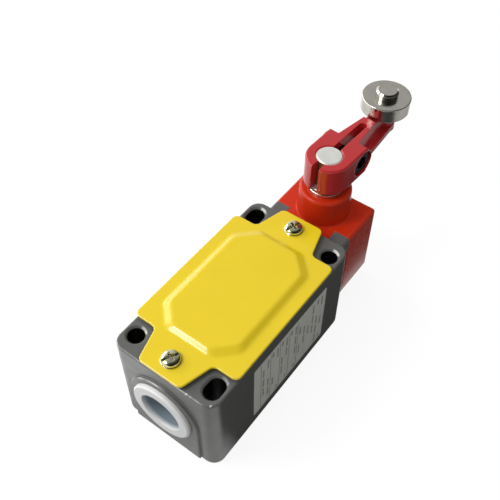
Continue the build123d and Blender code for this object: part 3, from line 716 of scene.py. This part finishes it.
def tapered(tree, mesh, narrow):
    """Cutter that gets smaller downwards."""
    x, y, z = parted(tree, tree.nodes.new("GeometryNodeInputPosition").outputs["Position"])
    keep = ranged(tree, z, 0.0, SCREW_SEAT_DROP, narrow, 1.0)
    place = joined(tree, calc(tree, "MULTIPLY", x, keep), calc(tree, "MULTIPLY", y, keep), z)
    return add(tree, "GeometryNodeSetPosition", Geometry=mesh, Position=place).outputs["Geometry"]


def cover_screws():
    """Two domed screws with a full-width slot and a cross recess, in place of the CAD ones."""
    low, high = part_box("cover_screws")
    seat = high.z - SCREW_SEAT_DROP
    pitch = high.y - low.y - 2 * SCREW_SIZES["Lip radius"]
    sizes = {**SCREW_SIZES, "Seat": seat, "Pitch": pitch, "Shank length": seat - low.z}
    tree, size = sized_tree("cover_screw_maker", sizes)
    shank = add(tree, "GeometryNodeMeshCylinder", Vertices=size["Around"], Radius=size["Shank radius"],
                Depth=calc(tree, "ADD", size["Shank length"], SHANK_OVERLAP))
    sunk = add(tree, "GeometryNodeTransform", Geometry=shank.outputs["Mesh"])
    middle = calc(tree, "MULTIPLY", calc(tree, "SUBTRACT", SHANK_OVERLAP, size["Shank length"]), 0.5)
    feed(tree, sunk.inputs["Translation"], joined(tree, 0.0, 0.0, middle))
    blank = carved(tree, domed_head(tree, size), [sunk.outputs["Geometry"]], "UNION")
    slot_height = calc(tree, "MULTIPLY", size["Slot depth"], 2.0)
    cross_height = calc(tree, "MULTIPLY", size["Cross depth"], 2.0)
    tools = [block(tree, SLOT_REACH, size["Slot width"], slot_height, size["Height"])]
    for wide, deep in (("Cross width", "Cross length"), ("Cross length", "Cross width")):
        arm = block(tree, size[wide], size[deep], cross_height, size["Height"])
        tools.append(tapered(tree, arm, CROSS_NARROW))
    screw = crisp(tree, carved(tree, blank, tools, "DIFFERENCE"), SHARP_FOLD)
    half = calc(tree, "MULTIPLY", size["Pitch"], -0.5)
    row = add(tree, "GeometryNodeMeshLine", Count=2, Start_Location=joined(tree, 0.0, half, size["Seat"]),
              Offset=joined(tree, 0.0, size["Pitch"], 0.0))
    index = tree.nodes.new("GeometryNodeInputIndex").outputs["Index"]
    turn = calc(tree, "ADD", size["First turn"], calc(tree, "MULTIPLY", index, size["Turn step"]))
    turned = add(tree, "FunctionNodeEulerToRotation", Euler=joined(tree, 0.0, 0.0, turn))
    placed = add(tree, "GeometryNodeInstanceOnPoints", Points=row.outputs["Mesh"], Instance=screw,
                 Rotation=turned.outputs["Rotation"])
    finished(tree, placed.outputs["Instances"], size["Finish"])
    mesh = built(tree, sizes, FINISHES["yellow_zinc"])
    piece = new_piece("cover_screw_pair", mesh, FINISHES["yellow_zinc"], "body")
    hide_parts("cover_screws")


# Label print: bars stand in groups, of which some are left out
RULE_MARGIN = 1.6 * MM
GROUP_FILLED = 0.8
GROUP_CHANCE = 0.55
MARK_STRETCH = (0.7, 1.1)
PRINT_SIZES = {
    "Ink": 0.03 * MM,
    "First rule": -13.4 * MM,
    "Rule pitch": 5.0 * MM,
    "Rule width": 0.22 * MM,
    "Rules": 5,
    "Mark width": 0.95 * MM,
    "Mark length": 0.55 * MM,
    "Row pitch": 0.92 * MM,
    "Column pitch": 2.5 * MM,
    "Columns": 14,
    "Rows": 27,
    "Group": 6,
    "Seed": 7,
}


def label_print():
    """Plain rules and bars on the label plate."""
    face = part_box("housing")[1].x + LABEL_THICK
    sizes = {**PRINT_SIZES, "Face": face}
    tree, size = sized_tree("label_print_maker", sizes)
    centre = (LABEL_BOTTOM + LABEL_TOP) / 2
    rules = add(tree, "GeometryNodeMeshLine", Count=size["Rules"],
                Start_Location=joined(tree, size["Face"], size["First rule"], centre),
                Offset=joined(tree, 0.0, size["Rule pitch"], 0.0))
    rule = block(tree, size["Ink"], size["Rule width"], LABEL_TOP - LABEL_BOTTOM - RULE_MARGIN)
    ruled = add(tree, "GeometryNodeInstanceOnPoints", Points=rules.outputs["Mesh"], Instance=rule)
    wide = calc(tree, "MULTIPLY", size["Column pitch"], calc(tree, "SUBTRACT", size["Columns"], 1.0))
    tall = calc(tree, "MULTIPLY", size["Row pitch"], calc(tree, "SUBTRACT", size["Rows"], 1.0))
    grid = add(tree, "GeometryNodeMeshGrid", Size_X=wide, Size_Y=tall, Vertices_X=size["Columns"],
               Vertices_Y=size["Rows"])
    position = tree.nodes.new("GeometryNodeInputPosition").outputs["Position"]
    along_y, along_z = parted(tree, position)[:2]
    first = calc(tree, "ADD", size["First rule"], calc(tree, "MULTIPLY", size["Column pitch"], 0.5))
    shifted = calc(tree, "ADD", calc(tree, "ADD", along_y, calc(tree, "MULTIPLY", wide, 0.5)), first)
    spots = add(tree, "GeometryNodeSetPosition", Geometry=grid.outputs["Mesh"],
                Position=joined(tree, size["Face"], shifted, calc(tree, "ADD", along_z, centre)))
    index = tree.nodes.new("GeometryNodeInputIndex").outputs["Index"]
    place = calc(tree, "DIVIDE", index, size["Group"])
    group = calc(tree, "FLOOR", place)
    chance = add(tree, "FunctionNodeRandomValue", data_type="FLOAT", ID=group, Seed=size["Seed"]).outputs[1]
    within = calc(tree, "LESS_THAN", calc(tree, "FRACT", place), GROUP_FILLED)
    here = calc(tree, "MULTIPLY", calc(tree, "LESS_THAN", chance, GROUP_CHANCE), within)
    next_seed = calc(tree, "ADD", size["Seed"], 1.0)
    stretch = add(tree, "FunctionNodeRandomValue", data_type="FLOAT", Seed=next_seed).outputs[1]
    bar = block(tree, size["Ink"], size["Mark width"], size["Mark length"])
    marks = add(tree, "GeometryNodeInstanceOnPoints", Points=spots.outputs["Geometry"], Instance=bar,
                Selection=here,
                Scale=joined(tree, 1.0, ranged(tree, stretch, 0.0, 1.0, *MARK_STRETCH), 1.0))
    both = tree.nodes.new("GeometryNodeJoinGeometry")
    for source in (ruled, marks):
        tree.links.new(source.outputs["Instances"], both.inputs["Geometry"])
    finished(tree, both.outputs["Geometry"], size["Finish"])
    ink = printed_ink()
    new_piece("label_print", built(tree, sizes, ink), ink, "body")


cover_screws()
label_print()


# Camera, light and floor

def place_camera():
    """Camera at the fitted angle, with its distance and offset in its own axes."""
    azimuth = math.radians(VIEW_AZIMUTH)
    elevation = math.radians(VIEW_ELEVATION)
    roll = math.radians(VIEW_ROLL)
    back = Vector((
        math.sin(azimuth) * math.cos(elevation),
        -math.cos(azimuth) * math.cos(elevation),
        math.sin(elevation),
    ))
    level = (-back).cross(Vector((0, 0, 1))).normalized()
    plumb = (-back).cross(level)
    right = level * math.cos(roll) - plumb * math.sin(roll)
    down = level * math.sin(roll) + plumb * math.cos(roll)
    spot = -(right * VIEW_OFFSET.x + down * VIEW_OFFSET.y - back * VIEW_OFFSET.z)
    data = bpy.data.cameras.new("view")
    data.sensor_width = SENSOR
    data.lens = LENS
    data.clip_start = 0.01
    camera = bpy.data.objects.new("view", data)
    bpy.context.scene.collection.objects.link(camera)
    turn = Matrix((right, -down, back)).transposed().to_4x4()
    camera.matrix_world = Matrix.Translation(spot) @ turn
    bpy.context.scene.camera = camera


def soft_lamp(name, direction, reach, width, height, power):
    """Rectangular lamp that faces the object."""
    data = bpy.data.lights.new(name, "AREA")
    data.shape = "RECTANGLE"
    data.size = width
    data.size_y = height
    data.energy = power
    lamp = bpy.data.objects.new(name, data)
    bpy.context.scene.collection.objects.link(lamp)
    turn = direction.to_track_quat("Z", "Y").to_matrix().to_4x4()
    lamp.matrix_world = Matrix.Translation(AIM + direction.normalized() * reach) @ turn
    lamp.visible_camera = False


def studio_world():
    """White for the camera, light from above, and dark sides for polished faces."""
    world = bpy.data.worlds.new("studio")
    world.use_nodes = True
    tree = world.node_tree
    tree.nodes.clear()
    toward = tree.nodes.new("ShaderNodeTexCoord").outputs["Generated"]
    sky = ranged(tree, along(tree, toward, SKY_FROM), *SKY_LIGHT)
    sideways, depth, height = parted(tree, toward)
    shown = ranged(tree, height, *CEILING)
    dark = ranged(tree, along(tree, toward, CAMERA_SIDE), *DARK_CAMERA_SIDE)
    path = tree.nodes.new("ShaderNodeLightPath")
    mirrored = calc(tree, "MAXIMUM", path.outputs["Is Glossy Ray"], path.outputs["Is Transmission Ray"])
    pick = add(tree, "ShaderNodeMix", data_type="FLOAT", Factor=mirrored)
    tree.links.new(sky, pick.inputs[2])
    right = ranged(tree, sideways, *DARK_RIGHT)
    rear = ranged(tree, depth, *DARK_REAR)
    shown = calc(tree, "MULTIPLY", calc(tree, "MULTIPLY", shown, dark), calc(tree, "MULTIPLY", right, rear))
    tree.links.new(shown, pick.inputs[3])
    level = add(tree, "ShaderNodeMix", data_type="FLOAT", Factor=path.outputs["Is Camera Ray"])
    tree.links.new(pick.outputs[0], level.inputs[2])
    background = add(tree, "ShaderNodeBackground", Strength=level.outputs[0])
    level.inputs[3].default_value = 1.0 / background.inputs["Color"].default_value[0]
    output = tree.nodes.new("ShaderNodeOutputWorld")
    tree.links.new(background.outputs["Background"], output.inputs["Surface"])
    bpy.context.scene.world = world


def pale_floor():
    """White floor that keeps a faint shadow for the camera, and shows polished faces a painted glow with a
    painted shadow beside the right flank.
    """
    mesh = bpy.data.meshes.new("floor")
    half = FLOOR_SIZE / 2
    corners = [(-half, -half), (half, -half), (half, half), (-half, half)]
    mesh.from_pydata([(x, y, cad_box[0].z - FLOOR_DROP) for x, y in corners], [], [(0, 1, 2, 3)])
    floor = bpy.data.objects.new("floor", mesh)
    bpy.context.scene.collection.objects.link(floor)
    material = bpy.data.materials.new("white_floor")
    material.use_nodes = True
    tree = material.node_tree
    tree.nodes.clear()
    path = tree.nodes.new("ShaderNodeLightPath")
    lit = add(tree, "ShaderNodeBsdfDiffuse", Color=FLOOR_LIT)
    faint = add(tree, "ShaderNodeBsdfDiffuse", Color=FLOOR_SHADED)
    glow = add(tree, "ShaderNodeEmission", Strength=FLOOR_GLOW)
    seen = tree.nodes.new("ShaderNodeAddShader")
    tree.links.new(faint.outputs[0], seen.inputs[0])
    tree.links.new(glow.outputs[0], seen.inputs[1])
    across = along(tree, places(tree), FLOOR_ACROSS)
    sheen = 0.0
    for step in FLOOR_SHEEN:
        sheen = calc(tree, "ADD", sheen, ranged(tree, across, *step))
    # Painted shadow: the sheen falls beside the right flank
    x, y = parted(tree, places(tree))[:2]
    beside = calc(tree, "MULTIPLY", ranged(tree, x, *FLOOR_BESIDE_X), ranged(tree, y, *FLOOR_BESIDE_Y))
    kept = ranged(tree, beside, 0.0, 1.0, 1.0, FLOOR_BESIDE)
    sheen = calc(tree, "ADD", calc(tree, "MULTIPLY", sheen, kept), ranged(tree, across, *FLOOR_FAR))
    mirrored = add(tree, "ShaderNodeEmission", Strength=sheen)
    inner = add(tree, "ShaderNodeMixShader", Fac=path.outputs["Is Glossy Ray"])
    tree.links.new(lit.outputs[0], inner.inputs[1])
    tree.links.new(mirrored.outputs[0], inner.inputs[2])
    pick = add(tree, "ShaderNodeMixShader", Fac=path.outputs["Is Camera Ray"])
    tree.links.new(inner.outputs[0], pick.inputs[1])
    tree.links.new(seen.outputs[0], pick.inputs[2])
    output = tree.nodes.new("ShaderNodeOutputMaterial")
    tree.links.new(pick.outputs[0], output.inputs["Surface"])
    mesh.materials.append(material)


place_camera()
for lamp_name, lamp_settings in LAMPS.items():
    soft_lamp(lamp_name, *lamp_settings)
studio_world()
pale_floor()
bpy.context.scene.view_settings.view_transform = "Standard"
